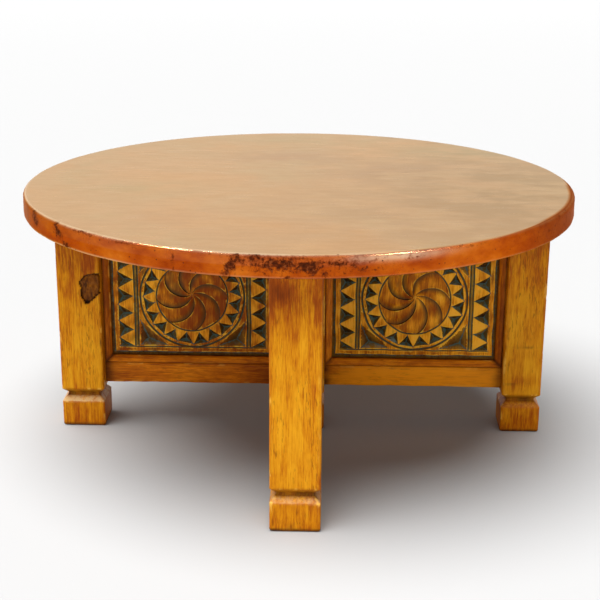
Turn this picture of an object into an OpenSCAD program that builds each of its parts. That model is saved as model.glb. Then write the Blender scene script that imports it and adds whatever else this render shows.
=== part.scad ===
// Round copper-topped coffee table on a cross-shaped base.
// Five square posts, four carved panels between them, and a copper sheet
// dressed over a laminated wooden disc.
// Units are millimetres. Z is up, the floor is Z = 0, and the axis of the
// top is the origin. X runs along the right arm and -Y along the front arm.

/* [Table] */
// Diameter over the copper edge
table_d = 1067; // [960:1:1220]
// Height of the copper surface above the floor
table_h = 508; // [480:1:560]
// How far the base stands to the right of the top's centre
base_shift = 10; // [0:1:15]

/* [Top] */
// Thickness of the copper sheet
copper_t = 1.2; // [0.8:0.1:1.6]
// Thickness of each of the two laminated wooden discs
disc_t = 19; // [16:0.5:25]
// Outer radius of the rounded upper edge
edge_r = 7; // [4:0.5:10]
// Width of the copper turned under the edge
flange_w = 22; // [16:1:40]
// Number of tacks that hold the turned-under copper
tack_count = 24; // [12:4:48]

/* [Posts] */
// Width of the centre post and of the front leg
post_w = 89; // [84:1:96]
// Width of the right leg
leg_right_w = 79; // [76:1:96]
// Width of the back leg
leg_back_w = 86; // [76:1:96]
// Width of the left leg
leg_left_w = 87; // [76:1:96]
// Height of the foot block below the neck
foot_h = 54; // [45:1:60]
// How deep the neck groove is cut
neck_depth = 11; // [8:0.5:14]
// Flat at the bottom of the neck groove
neck_flat = 5; // [3:0.5:8]
// Eased edge of the posts
post_ease = 3; // [1:0.5:4]

/* [Frames] */
// Clear length between the centre post and each leg
span = 360; // [340:1:380]
// Thickness of the rails
rail_t = 38; // [34:1:44]
// Height of the lower edge of the bottom rails
rail_z = 88; // [86:1:95]
// Depth of the bottom rails, measured upward
bottom_rail_h = 43; // [40:1:48]
// Height of the lower edge of the top rails
top_rail_z = 409; // [405:1:414]
// Length of each tenon
tenon_l = 28; // [20:1:32]
// Thickness of each tenon
tenon_t = 12; // [10:1:14]
// Shoulder above and below each tenon
tenon_shoulder = 7; // [5:1:9]

/* [Panels] */
// Thickness of the carved boards
panel_t = 19; // [17:0.5:20]
// Width of the mitred moulding round each panel
moulding_w = 15; // [14:0.5:17]
// Radius of the ring cut round the medallion
ring_r = 105.5; // [103:0.5:107]
// Radius of the whirl in the middle of the medallion
whirl_r = 72; // [68:1:76]
// Number of chips cut round the medallion
ray_count = 20; // [16:1:22]
// Number of curved cuts in the whirl
blade_count = 8; // [6:1:9]
// Number of raised triangles up each side of a panel
tooth_count = 6; // [5:1:7]
// Depth of the chip cuts
chip_depth = 5; // [3:0.5:6]
// Depth of the ring cut, the deepest of the narrow V cuts
line_depth = 2.2; // [1.5:0.1:3]

/* [Fixings] */
// Length of the cleats that hold the top
cleat_l = 200; // [160:1:240]
// Height and width of the cleats
cleat_s = 32; // [28:1:36]
// Shank diameter of the cleat screws
screw_d = 4.5; // [4:0.1:5]
// Length of the cleat screws
screw_l = 50; // [45:1:52]
// Diameter of the moulding pins
pin_d = 1.4; // [1.2:0.1:1.6]

/* [Hidden] */
$fn = 96;
ARMS = ["right", "back", "left", "front"];
// What the two faces of each arm look towards, its clockwise face first.
FACES = [["front", "back"], ["right", "left"], ["back", "front"], ["left", "right"]];
EDGES = ["lower", "upper", "inner", "outer"];

leg_w = [leg_right_w, leg_back_w, leg_left_w, post_w];
rim_r = table_d / 2;
top_z = table_h - copper_t - 2 * disc_t; // underside of the discs, where the posts end
disc_r = rim_r - copper_t;
flange_z = top_z - copper_t; // underside of the turned-under copper
arm_x = post_w / 2; // where each arm's frame starts
leg_x = arm_x + span; // inner face of each leg
panel_z = rail_z + bottom_rail_h; // lower edge of the panel board
panel_h = top_rail_z - panel_z;
mid_x = arm_x + span / 2;
mid_z = panel_z + panel_h / 2;
moulding_t = (rail_t - panel_t) / 2;
face_w = span - 2 * moulding_w; // carved face left open by the moulding
face_h = panel_h - 2 * moulding_w;
foot_ease = 5;
lip_r = 3; // where the copper turns under
neck_rise = 10; // slope at the top of the neck groove
fit_gap = 0.15; // glue gap round a tenon
panel_gap = 1; // room left for the boards to swell
joint_gap = 0.1; // half of the gap at a mitre
hole_gap = 0.05; // clearance round a screw, pin or tack
over = 1; // how far a cutter stands proud of what it cuts

moulding_ease = 0.8; // eased outer corner of the moulding
moulding_flat = moulding_w * 0.3; // where the moulding's bevel starts
// The bevel: how far each point is from the inner edge, and its share of the thickness.
moulding_bevel = [[2.5, 0.66], [0.6, 0.5], [0, 0.36]];

margin_depth = 1.9; // lowered margin round the carving
strip_x = face_w / 2 - 6.5; // outer edge of the raised border, and its inner edge
strip_y = face_h / 2 - 7.5;
field_x = strip_x - 9;
field_y = strip_y - 11;
line_x = [ring_r + 5.1, ring_r + 11.9]; // the two cuts beside the medallion
tooth_tip = line_x[1] + 2.4;
ray_r = ring_r - 6; // bases of the chips round the medallion
ray_tip = whirl_r + 4;
ray_fill = 0.95; // share of its room that a chip takes up
corner_x = ring_r + 1.5; // corners of the chips in the medallion's spandrels
corner_y = ring_r - 1.5;
corner_run = 0.48;
blade_turn = 136; // how far each curved cut turns between the middle and its ring
blade_stop = 12; // how much of that turn is left uncut at the middle
blade_steep = 1.2; // width of a curved cut's steep side, and of its gentle one
blade_gentle = 5;

pin_l = 26;
pin_sink = 1;
pin_places = [0.28, 0.72]; // where the pins stand along a strip
pin_rise = moulding_t * 0.3;
head_r = 4.5; // countersunk screw heads
top_screw_x = cleat_l * 0.35; // how far the cleat screws stand from the cleat's middle
rail_screw_x = cleat_l * 0.2;
screw_line = cleat_s * 0.55;
tack_head_r = 3.5;
tack_crown_r = 2.1;
tack_head_t = 1;
tack_l = 10;
tack_shank_r = 0.9;
tack_r = rim_r - flange_w * 0.6; // circle the tacks stand on

// Points of an arc, in a profile's own plane.
function arc(c, r, from, to, steps = 6) =
    [for (i = [0:steps]) let (a = from + (to - from) * i / steps) c + r * [cos(a), sin(a)]];

function polar(r, a) = r * [cos(a), sin(a)];

// Puts children, made about the right arm, on arm i of the base.
module on_arm(i) {
    translate([base_shift, 0, 0]) rotate(90 * i) children();
}

// ---------------------------------------------------------------- top

// The outline that the copper covers, from the axis out, inset by d.
function top_edge(d) = concat(
    arc([rim_r - edge_r, table_h - edge_r], edge_r - d, 90, 0),
    arc([rim_r - lip_r, flange_z + lip_r], lip_r - d, 0, -90, 4)
);

module copper_sheet() {
    color("peru") difference() {
        rotate_extrude() polygon(concat(
            [[0, table_h]],
            top_edge(0),
            [[rim_r - flange_w, flange_z], [rim_r - flange_w, top_z]],
            [for (i = [len(top_edge(0)) - 1:-1:0]) top_edge(copper_t)[i]],
            [[0, table_h - copper_t]]
        ));
        tacks_placed() tack_hole();
    }
}

module core_disc_upper() {
    z = top_z + disc_t;
    color("burlywood") difference() {
        rotate_extrude() polygon(concat(
            [[0, z + disc_t]],
            arc([rim_r - edge_r, table_h - edge_r], edge_r - copper_t, 90, 0),
            [[disc_r, z], [0, z]]
        ));
        top_screws_placed() screw_hole();
    }
}

module core_disc_lower() {
    color("tan") difference() {
        rotate_extrude() polygon(concat(
            [[0, top_z + disc_t], [disc_r, top_z + disc_t]],
            arc([rim_r - lip_r, flange_z + lip_r], lip_r - copper_t, 0, -90, 4),
            [[0, top_z]]
        ));
        top_screws_placed() screw_hole();
        tacks_placed() tack_hole();
    }
}

module tacks_placed() {
    for (i = [0:tack_count - 1])
        rotate(360 * (i + 0.5) / tack_count) translate([tack_r, 0, flange_z]) children();
}

module tack() {
    translate([0, 0, -tack_head_t])
        cylinder(r1 = tack_crown_r, r2 = tack_head_r, h = tack_head_t, $fn = 24);
    cylinder(r = tack_shank_r, h = tack_l, $fn = 24);
}

module tack_hole() {
    translate([0, 0, -over])
        cylinder(r = tack_shank_r + hole_gap, h = tack_l + over + hole_gap, $fn = 24);
}

module flange_tacks() {
    color("saddlebrown") tacks_placed() tack();
}

// ---------------------------------------------------------------- posts

// Side view of a post: eased foot, foot block, neck groove, shaft.
function post_side(h) = let (n = foot_h + neck_depth) [
    [h - foot_ease, 0], [h, foot_ease], [h, foot_h], [h - neck_depth, n],
    [h - neck_depth, n + neck_flat], [h, n + neck_flat + neck_rise], [h, top_z]
];

function mirrored(points) =
    concat(points, [for (i = [len(points) - 1:-1:0]) [-points[i][0], points[i][1]]]);

// A square post centred on the origin.
module post(w) {
    h = w / 2;
    e = post_ease;
    side = mirrored(post_side(h));
    intersection() {
        rotate([90, 0, 0]) linear_extrude(w + 2 * over, center = true) polygon(side);
        rotate([90, 0, 90]) linear_extrude(w + 2 * over, center = true) polygon(side);
        linear_extrude(top_z) polygon([
            [h, h - e], [h - e, h], [e - h, h], [-h, h - e],
            [-h, e - h], [e - h, -h], [h - e, -h], [h, e - h]
        ]);
    }
}

// Everything that one arm cuts into the posts at its two ends.
module arm_mortises() {
    for (r = [[rail_z, bottom_rail_h], [top_rail_z, top_z - top_rail_z]])
        translate([arm_x - tenon_l, -tenon_t / 2, r[0] + tenon_shoulder] - [1, 1, 1] * fit_gap)
            cube([span + 2 * tenon_l, tenon_t, r[1] - 2 * tenon_shoulder] + [2, 2, 2] * fit_gap);
    for (s = [0, 1]) side_pins_placed(s, ["inner", "outer"]) pin_hole();
}

module leg(i) {
    color("goldenrod") difference() {
        translate([leg_x + leg_w[i] / 2, 0, 0]) post(leg_w[i]);
        arm_mortises();
    }
}

module center_post() {
    color("goldenrod") difference() {
        on_arm(0) post(post_w);
        for (i = [0:3]) on_arm(i) arm_mortises();
    }
}

// ---------------------------------------------------------------- rails

module rail(z, h) {
    translate([arm_x, -rail_t / 2, z]) cube([span, rail_t, h]);
    translate([arm_x - tenon_l, -tenon_t / 2, z + tenon_shoulder])
        cube([span + 2 * tenon_l, tenon_t, h - 2 * tenon_shoulder]);
}

module bottom_rail() {
    color("chocolate") difference() {
        rail(rail_z, bottom_rail_h);
        for (s = [0, 1]) side_pins_placed(s, ["lower"]) pin_hole();
    }
}

module top_rail() {
    color("chocolate") difference() {
        rail(top_rail_z, top_z - top_rail_z);
        for (s = [0, 1]) side_pins_placed(s, ["upper"]) pin_hole();
        rail_screws_placed() screw_hole();
    }
}

// ---------------------------------------------------------------- mouldings

// Section of the moulding: x towards the panel's middle, y out from the board.
function moulding_section() = let (w = moulding_w, t = moulding_t, e = moulding_ease) concat(
    [[joint_gap, 0], [joint_gap, t - e], [joint_gap + e, t], [moulding_flat, t]],
    [for (p = moulding_bevel) [w - p[0], t * p[1]]],
    [[w, 0]]
);

// One strip along +X, its outer edge on the X axis, both ends mitred.
module moulding_strip(length) {
    start = joint_gap * sqrt(2);
    end = length - start;
    w = moulding_w;
    intersection() {
        rotate([90, 0, 90]) linear_extrude(length) polygon(moulding_section());
        translate([0, 0, -over]) linear_extrude(moulding_t + 2 * over)
            polygon([[start, 0], [end, 0], [end - w, w], [start + w, w]]);
    }
}

// Puts children from the plane of a panel's face onto face s of the arm:
// x and y run across and up the face from its middle, z stands out from it.
module on_face(s) {
    translate([mid_x, 0, mid_z]) rotate(180 * s) rotate([90, 0, 0])
        translate([0, 0, panel_t / 2]) children();
}

// Which way edge e lies on face s, as the turn of a strip along the lower edge.
// Seen from face 1 the centre post is on the right, so inner and outer swap.
function edge_turn(e, s) =
    e == "lower" ? 0 : e == "upper" ? 180 : (e == "inner") == (s == 0) ? 270 : 90;

function edge_length(e) = (e == "lower" || e == "upper") ? span : panel_h;

module on_edge(s, e) {
    across = (e == "lower" || e == "upper") ? panel_h : span;
    on_face(s) rotate(edge_turn(e, s))
        translate([-edge_length(e) / 2, -across / 2, 0]) children();
}

module moulding(s, e) {
    color("sienna") difference() {
        on_edge(s, e) moulding_strip(edge_length(e));
        side_pins_placed(s, [e]) pin_hole();
    }
}

// Two pins through each strip of face s, into the rail or post beyond it.
module side_pins_placed(s, edges) {
    for (e = edges, k = pin_places)
        on_edge(s, e) translate([edge_length(e) * k, moulding_w - pin_sink, pin_rise])
            rotate([90, 0, 0]) children();
}

module pin_hole() {
    translate([0, 0, -pin_sink - over])
        cylinder(r = pin_d / 2 + hole_gap, h = pin_l + pin_sink + over + hole_gap, $fn = 16);
}

module moulding_pins() {
    color("gray") for (i = [0:3], s = [0, 1])
        on_arm(i) side_pins_placed(s, EDGES) cylinder(d = pin_d, h = pin_l, $fn = 16);
}

// ---------------------------------------------------------------- panels

// A triangular chip with its corners in the face and its point straight below their middle.
module chip(a, b, c, depth = chip_depth) {
    m = (a + b + c) / 3;
    k = (depth + over) / depth;
    translate([m[0], m[1], over]) mirror([0, 0, 1])
        linear_extrude(depth + over, scale = 0.001) polygon([(a - m) * k, (b - m) * k, (c - m) * k]);
}

// Section of a cut at x, d deep, reaching near before it and far beyond it.
function cut_section(x, d, near, far) =
    [[x - near, 0], [x, -d], [x + far, 0], [x + far, over], [x - near, over]];

module ring_cut(r) {
    rotate_extrude() polygon(cut_section(r, line_depth, line_depth, line_depth));
}

module side_line_cut(x) {
    d = line_depth * 0.75;
    translate([0, field_y, 0]) rotate([90, 0, 0])
        linear_extrude(2 * field_y) polygon(cut_section(x, d, d, d));
}

// One curved cut of the whirl, from the middle to where its ring lies at angle a.
module blade_cut(a) {
    r = whirl_r / (2 * sin(blade_turn / 2));
    rotate(a) translate(polar(r, blade_turn / 2 - 90)) rotate(90 - blade_turn / 2)
        rotate_extrude(angle = blade_turn - blade_stop)
            polygon(cut_section(r, line_depth * 0.8, blade_gentle, blade_steep));
}

// Rings, curved cuts and the ring of chips.
module medallion() {
    half_ray = 180 / ray_count;
    reach = half_ray * ray_fill;
    ring_cut(ring_r);
    ring_cut(whirl_r);
    for (i = [0:blade_count - 1]) blade_cut(i * 360 / blade_count);
    for (i = [0:ray_count - 1]) let (a = 90 + (2 * i + 1) * half_ray)
        chip(polar(ray_tip, a), polar(ray_r, a - reach), polar(ray_r, a + reach));
}

// The lines, the chips between the teeth and the two spandrels on the right.
module side_carving() {
    pitch = 2 * field_y / tooth_count;
    half = pitch * ray_fill / 2;
    for (x = line_x) side_line_cut(x);
    for (j = [1:tooth_count - 1]) let (y = j * pitch - field_y)
        chip([field_x, y - half], [field_x, y + half], [tooth_tip, y]);
    for (n = [0, 1]) mirror([0, n, 0])
        chip(
            [corner_x, corner_y], [ring_r * corner_run, corner_y], [corner_x, ring_r * corner_run],
            chip_depth * 0.8
        );
}

// The whole carved pattern, as cutters, with the face at z = 0.
module carving() {
    medallion();
    side_carving();
    mirror([1, 0, 0]) side_carving();
    translate([0, 0, -margin_depth]) linear_extrude(margin_depth + over) difference() {
        square([face_w, face_h], center = true);
        square([2 * strip_x, 2 * strip_y], center = true);
    }
}

module panel() {
    color("darkgoldenrod") difference() {
        translate([arm_x + panel_gap, -panel_t / 2, panel_z])
            cube([span - 2 * panel_gap, panel_t, panel_h - panel_gap]);
        for (s = [0, 1]) on_face(s) carving();
    }
}

// ---------------------------------------------------------------- fixings

// A countersunk screw pointing up +Z, its head's face at the origin.
module screw() {
    cylinder(r1 = head_r, r2 = screw_d / 2, h = head_r - screw_d / 2, $fn = 32);
    cylinder(d = screw_d, h = screw_l, $fn = 32);
}

module screw_hole() {
    translate([0, 0, -over]) cylinder(r = head_r + hole_gap, h = over, $fn = 32);
    cylinder(
        r1 = head_r + hole_gap, r2 = screw_d / 2 + hole_gap,
        h = head_r - screw_d / 2, $fn = 32
    );
    cylinder(r = screw_d / 2 + hole_gap, h = screw_l + hole_gap, $fn = 32);
}

// Through each cleat up into the discs.
module arm_top_screws() {
    for (x = [-top_screw_x, top_screw_x])
        translate([mid_x + x, rail_t / 2 + screw_line, top_z - cleat_s]) children();
}

// Through each cleat sideways into its top rail.
module rail_screws_placed() {
    for (x = [-rail_screw_x, rail_screw_x])
        translate([mid_x + x, rail_t / 2 + cleat_s, top_z - screw_line])
            rotate([90, 0, 0]) children();
}

module top_screws_placed() {
    for (i = [0:3]) on_arm(i) arm_top_screws() children();
}

module cleat() {
    color("tan") difference() {
        translate([mid_x - cleat_l / 2, rail_t / 2, top_z - cleat_s])
            cube([cleat_l, cleat_s, cleat_s]);
        arm_top_screws() screw_hole();
        rail_screws_placed() screw_hole();
    }
}

module cleat_top_screws() {
    color("silver") top_screws_placed() screw();
}

module cleat_rail_screws() {
    color("silver") for (i = [0:3]) on_arm(i) rail_screws_placed() screw();
}

// ---------------------------------------------------------------- nodes

copper_sheet();
flange_tacks();
core_disc_upper();
core_disc_lower();
center_post();
for (i = [0:3]) {
    on_arm(i) leg(i);
    on_arm(i) bottom_rail();
    on_arm(i) top_rail();
    on_arm(i) panel();
    on_arm(i) cleat();
}
for (i = [0:3], s = [0, 1], e = EDGES)
    on_arm(i) moulding(s, e);
moulding_pins();
cleat_top_screws();
cleat_rail_screws();
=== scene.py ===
"""Looks of a round copper-topped coffee table on a carved wooden cross base.

Lengths are in metres unless a name or a comment says millimetres. Every piece takes its
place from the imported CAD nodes.
"""

import math

import bpy
import numpy as np
from mathutils import Matrix, Vector
from mathutils.geometry import delaunay_2d_cdt


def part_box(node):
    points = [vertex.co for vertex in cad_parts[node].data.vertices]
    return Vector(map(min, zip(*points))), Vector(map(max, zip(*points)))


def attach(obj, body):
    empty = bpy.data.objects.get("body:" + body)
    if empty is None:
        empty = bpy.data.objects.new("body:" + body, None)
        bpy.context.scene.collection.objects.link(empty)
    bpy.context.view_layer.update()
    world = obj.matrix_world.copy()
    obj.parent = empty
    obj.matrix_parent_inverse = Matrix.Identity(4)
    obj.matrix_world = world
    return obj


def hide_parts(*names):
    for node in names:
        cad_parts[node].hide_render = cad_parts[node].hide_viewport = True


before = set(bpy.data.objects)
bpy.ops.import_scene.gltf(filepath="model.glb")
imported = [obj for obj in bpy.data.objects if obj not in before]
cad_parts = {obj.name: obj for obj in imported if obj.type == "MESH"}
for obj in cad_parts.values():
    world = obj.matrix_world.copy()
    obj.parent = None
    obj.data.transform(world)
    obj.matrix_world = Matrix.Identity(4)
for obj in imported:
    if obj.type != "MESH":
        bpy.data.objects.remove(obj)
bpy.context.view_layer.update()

MM = 0.001
TURN = 2 * math.pi
UP = np.array([0.0, 0.0, 1.0])
ARMS = ["right", "back", "left", "front"]
PANEL_SIDES = [["front", "back"], ["right", "left"], ["back", "front"], ["left", "right"]]
EDGES = ["lower", "upper", "inner", "outer"]


# ---- helpers

def rng_for(name):
    """A random generator that is the same on every run and differs from piece to piece."""
    return np.random.default_rng(list(name.encode()))


def box(node):
    """Lowest and highest corner of a CAD node."""
    return np.array(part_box(node))


def foot_of(node):
    """The point of the floor under a node's middle."""
    low, high = box(node)
    return (low + high) / 2 * (1, 1, 0)


def polar(radius, angle):
    return np.array([radius * math.cos(angle), radius * math.sin(angle)])


def ripple(points, wavelength, rng):
    """A smooth random value, mostly between -1 and 1, at each point."""
    waves = 10
    total = np.zeros(len(points))
    for _ in range(waves):
        direction = rng.normal(size=points.shape[1])
        direction /= np.linalg.norm(direction) * wavelength * rng.uniform(0.6, 1.7)
        total += np.sin(points @ direction * TURN + rng.uniform(0, TURN))
    return total / math.sqrt(waves)


def smooth_step(values, low, high):
    t = np.clip((values - low) / (high - low), 0, 1)
    return t * t * (3 - 2 * t)


def bump_at(distance, width):
    """1 at no distance, falling smoothly to 0."""
    return np.exp(-(distance / width) ** 2)


def oval(points, middle, size):
    """1 in the middle of an oval, falling smoothly to 0."""
    return bump_at(np.linalg.norm((points - middle) / size, axis=1), 1.0)


def in_timber(points, rng, near=0.05, far=0.16):
    """Places in the log that a piece was cut from. points are across, across and along the grain."""
    return points + np.array([*rng.uniform(near, far, 2), rng.uniform(0, 3)])


def quarter_round(radius, steps):
    """Insets and drops along a quarter circle, from its level end to its upright end."""
    angles = np.linspace(0, math.pi / 2, steps)
    return [(radius * (1 - math.sin(a)), radius * (1 - math.cos(a))) for a in angles]


def loft(rings):
    """Points and faces of a closed skin over rings with the same number of points."""
    count = len(rings[0])
    last = (len(rings) - 1) * count
    faces = []
    for a in range(0, last, count):
        for i in range(count):
            j = (i + 1) % count
            faces.append((a + i, a + j, a + count + j, a + count + i))
    faces.append(tuple(range(count - 1, -1, -1)))
    faces.append(tuple(range(last, last + count)))
    return np.concatenate(rings), faces


def rounded_square(half_x, half_y, radius, counts, corner_steps=4):
    """Outline of a rectangle with rounded corners, anticlockwise, and 1 for its points at a corner.

    counts are the parts of an upright side and of a level side.
    """
    points, at_corner = [], []
    reach = np.array([half_x - radius, half_y - radius])
    centres = [reach * signs for signs in ((1, -1), (1, 1), (-1, 1), (-1, -1))]
    for k, centre in enumerate(centres):
        angles = np.radians(90 * (k - 1) + 90 * np.arange(corner_steps + 1) / corner_steps)
        outward = polar(radius, math.radians(90 * k))
        start, end = centre + outward, centres[(k + 1) % 4] + outward
        count = max(2, counts[k % 2])
        points += [centre + polar(radius, angle) for angle in angles]
        points += [start + (end - start) * i / count for i in range(1, count)]
        at_corner += [1.0] * len(angles) + [0.0] * (count - 1)
    return np.array(points), np.array(at_corner)


def new_object(name, data):
    made = bpy.data.objects.new(name, data)
    bpy.context.scene.collection.objects.link(made)
    return made


def add_piece(name, points, faces, material, nodes, values, face_values=None, sharp=35):
    """Adds a mesh in place of CAD nodes. values are per point, face_values per face."""
    mesh = bpy.data.meshes.new(name)
    mesh.from_pydata(points.tolist(), [], faces)
    for domain, layers in (("POINT", values), ("FACE", face_values or {})):
        for key, data in layers.items():
            kind, field = ("FLOAT_VECTOR", "vector") if data.ndim == 2 else ("FLOAT", "value")
            layer = mesh.attributes.new(key, kind, domain)
            layer.data.foreach_set(field, np.ascontiguousarray(data, np.float32).ravel())
    mesh.shade_smooth()
    mesh.set_sharp_from_angle(angle=math.radians(sharp))
    mesh.materials.append(material)
    piece = new_object(name, mesh)
    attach(piece, "root")
    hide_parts(*nodes)


# ---- materials

WAX = {"Coat_Weight": 0.03, "Coat_Roughness": 0.12}
LACQUER = {"Coat_Weight": 0.05, "Coat_Roughness": 0.06}
RELIEF = 0.4 * MM


class Shader:
    """A short way to write a material's nodes. Inputs may be sockets or plain values."""

    def __init__(self, name):
        self.material = bpy.data.materials.new(name)
        self.material.use_nodes = True
        self.tree = self.material.node_tree
        self.tree.nodes.clear()
        self.surface = self.node("ShaderNodeBsdfPrincipled")
        output = self.node("ShaderNodeOutputMaterial")
        self.tree.links.new(self.surface.outputs[0], output.inputs["Surface"])

    def put(self, node, key, value):
        socket = node.inputs[key]
        if isinstance(value, bpy.types.NodeSocket):
            self.tree.links.new(value, socket)
        else:
            socket.default_value = (*value, 1) if socket.type == "RGBA" else value

    def node(self, kind, inputs=None, **settings):
        made = self.tree.nodes.new(kind)
        for key, value in settings.items():
            setattr(made, key, value)
        for key, value in (inputs or {}).items():
            self.put(made, key, value)
        return made

    def value(self, name, output="Fac"):
        return self.node("ShaderNodeAttribute", attribute_name=name).outputs[output]

    def position(self):
        return self.node("ShaderNodeTexCoord").outputs["Object"]

    def mapped(self, vector, **settings):
        return self.node("ShaderNodeMapping", {"Vector": vector, **settings}).outputs[0]

    def noise(self, vector, scale, detail=3.0, rough=0.55, distortion=0.0):
        """Noise with one scale, or with a scale for each axis."""
        if isinstance(scale, tuple):
            vector, scale = self.mapped(vector, Scale=scale), 1.0
        inputs = {"Vector": vector, "Scale": scale, "Detail": detail}
        inputs |= {"Roughness": rough, "Distortion": distortion}
        return self.node("ShaderNodeTexNoise", inputs).outputs["Fac"]

    def cells(self, vector, scale, **settings):
        inputs = {"Vector": vector, "Scale": scale}
        return self.node("ShaderNodeTexVoronoi", inputs, **settings).outputs["Distance"]

    def math(self, operation, *values):
        return self.node("ShaderNodeMath", dict(enumerate(values)), operation=operation).outputs[0]

    def plus(self, a, b):
        return self.math("ADD", a, b)

    def times(self, a, b):
        return self.math("MULTIPLY", a, b)

    def weighted(self, *parts):
        """The sum of each value times its weight."""
        total = 0.0
        for value, weight in parts:
            total = self.math("MULTIPLY_ADD", value, weight, total)
        return total

    def spread(self, value, low, high, to_low=0.0, to_high=1.0):
        """value moved from low..high to to_low..to_high, clamped and smoothed."""
        inputs = {"Value": value, "From Min": low, "From Max": high, "To Min": to_low, "To Max": to_high}
        return self.node("ShaderNodeMapRange", inputs, interpolation_type="SMOOTHSTEP").outputs[0]

    def ramp(self, value, *stops):
        ramp = self.node("ShaderNodeValToRGB", {"Fac": value})
        elements = ramp.color_ramp.elements
        while len(elements) < len(stops):
            elements.new(0.5)
        for element, (place, colour) in zip(elements, stops):
            element.position = place
            element.color = (*colour, 1)
        return ramp.outputs[0]

    def mix(self, amount, a, b):
        """The node keeps its colour sockets after those for numbers and vectors."""
        return self.node("ShaderNodeMix", {0: amount, 6: a, 7: b}, data_type="RGBA").outputs[2]

    def bump(self, height, distance, strength):
        inputs = {"Height": height, "Distance": distance, "Strength": strength}
        return self.node("ShaderNodeBump", inputs).outputs[0]

    def finish(self, **inputs):
        for key, value in inputs.items():
            self.put(self.surface, key.replace("_", " "), value)
        return self.material


def wood_tone(s, grain):
    """Lightness of planed timber and the height of its fibres. The vector's Z runs along the grain."""
    clouds = s.noise(grain, (13, 13, 5))
    figure = s.noise(grain, (55, 55, 24), 5.0, 0.62, 0.4)
    streaks = s.noise(grain, (150, 150, 7), 4.0, 0.6)
    fibres = s.noise(grain, (520, 520, 36), 3.0, 0.65)
    tone = s.weighted((clouds, 0.26), (figure, 0.21), (streaks, 0.24), (fibres, 0.29))
    return tone, s.weighted((fibres, 0.6), (streaks, 0.4))


def stained_wood(name, dark, middle, light, dash=0.5):
    """Stained and waxed timber. Reads the point values grain, tone, edge, dust, dirt, hollow and mark."""
    s = Shader(name)
    grain = s.value("grain", "Vector")
    tone, height = wood_tone(s, grain)
    tone = s.spread(s.plus(tone, s.value("tone")), 0.22, 0.64)
    deep = (dark[0] * 0.5, dark[1] * 0.42, dark[2] * 0.5)
    colour = s.ramp(tone, (0.0, deep), (1 / 3, dark), (2 / 3, middle), (1.0, light))
    dashes = s.spread(s.noise(grain, (330, 330, 52), 2.0), 0.56, 0.66)
    pores = s.times(dashes, s.spread(s.noise(grain, (22, 22, 8)), 0.40, 0.58))
    colour = s.mix(s.times(pores, dash), colour, tuple(c * 0.4 for c in dark))
    edge = s.value("edge")
    # darker along the edges: painted shade on the eased arrises
    colour = s.mix(s.times(edge, 0.4), colour, dark)
    worn = s.times(edge, s.spread(s.noise(grain, (70, 70, 24)), 0.55, 0.66, 0.0, 0.8))
    colour = s.mix(worn, colour, tuple(min(0.9, c * 1.2 + 0.06) for c in light))
    powder = s.spread(s.noise(grain, (110, 110, 110), 4.0), 0.35, 0.6, 0.3, 0.9)
    colour = s.mix(s.times(s.value("dust"), powder), colour, (0.62, 0.42, 0.20))
    # dirt and painted shade: darker in the neck grooves, where the posts stand on the floor and at the
    # joints beside the posts
    dirt = s.times(s.value("dirt"), s.spread(s.noise(grain, (50, 50, 30)), 0.2, 0.7, 0.45, 1.0))
    colour = s.mix(dirt, colour, (0.06, 0.016, 0.003))
    torn = s.noise(grain, (160, 160, 60), 5.0, 0.7)
    hollow = s.value("hollow")
    bark = [(0.3, (0.04, 0.011, 0.001)), (0.5, (0.19, 0.052, 0.002)), (0.7, (0.32, 0.105, 0.004))]
    colour = s.mix(hollow, colour, s.ramp(torn, *bark))
    return s.finish(
        Base_Color=s.mix(s.value("mark"), colour, (0.022, 0.008, 0.003)),
        Roughness=s.plus(s.spread(height, 0.35, 0.65, 0.34, 0.46), s.times(dirt, 0.3)),
        Normal=s.bump(s.weighted((height, 1.0), (pores, -0.5), (s.times(torn, hollow), 3.0)), RELIEF, 0.5),
        Specular_IOR_Level=0.08,
        **WAX,
    )


def carved_wood(name):
    """Stained timber with old paint in the cuts.

    Reads the point values grain, tone, edge, valley, depth and wash, and cut and shade of each face.
    """
    s = Shader(name)
    grain = s.value("grain", "Vector")
    tone, height = wood_tone(s, grain)
    face = s.ramp(
        s.spread(s.plus(tone, s.value("tone")), 0.37, 0.71),
        (0.0, (0.26, 0.047, 0.001)),
        (0.43, (0.54, 0.163, 0.003)),
        (0.83, (0.88, 0.360, 0.012)),
        (1.0, (0.98, 0.46, 0.03)),
    )
    smears = s.spread(s.noise(grain, (44, 44, 16), 4.0), 0.56, 0.72, 0.0, 0.5)
    face = s.mix(smears, face, (0.17, 0.10, 0.012))
    rubbed = s.spread(s.noise(grain, (80, 80, 50)), 0.42, 0.62)
    # paler along the edges of the cuts: worn edges with a painted highlight
    face = s.mix(s.times(s.spread(s.value("edge"), 0.3, 0.95), rubbed), face, (0.82, 0.44, 0.035))
    # darker with depth: stain and painted shade in the recesses
    face = s.mix(s.spread(s.value("depth"), 0.3, 2.8, 0.0, 0.85), face, (0.085, 0.050, 0.014))
    face = s.mix(s.value("wash"), face, (0.115, 0.085, 0.018))
    patches = s.noise(grain, 110.0, 4.0, 0.65)
    paint = s.ramp(
        s.plus(s.value("shade"), s.spread(patches, 0.3, 0.7, -0.25, 0.25)),
        (0.1, (0.014, 0.006, 0.001)),
        (0.42, (0.085, 0.042, 0.006)),
        (0.66, (0.064, 0.056, 0.020)),
        (0.92, (0.075, 0.122, 0.108)),
    )
    cut = s.value("cut")
    colour = s.mix(s.times(cut, s.spread(patches, 0.25, 0.5, 0.8, 1.0)), face, paint)
    line = s.times(s.spread(s.value("valley"), 0.35, 0.95), s.spread(patches, 0.32, 0.56, 0.25, 1.0))
    return s.finish(
        Base_Color=s.mix(line, colour, (0.056, 0.105, 0.094)),
        Roughness=s.plus(s.spread(height, 0.35, 0.65, 0.32, 0.44), s.times(cut, 0.2)),
        Normal=s.bump(height, RELIEF, 0.55),
        Specular_IOR_Level=0.07,
        **WAX,
    )


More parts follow.
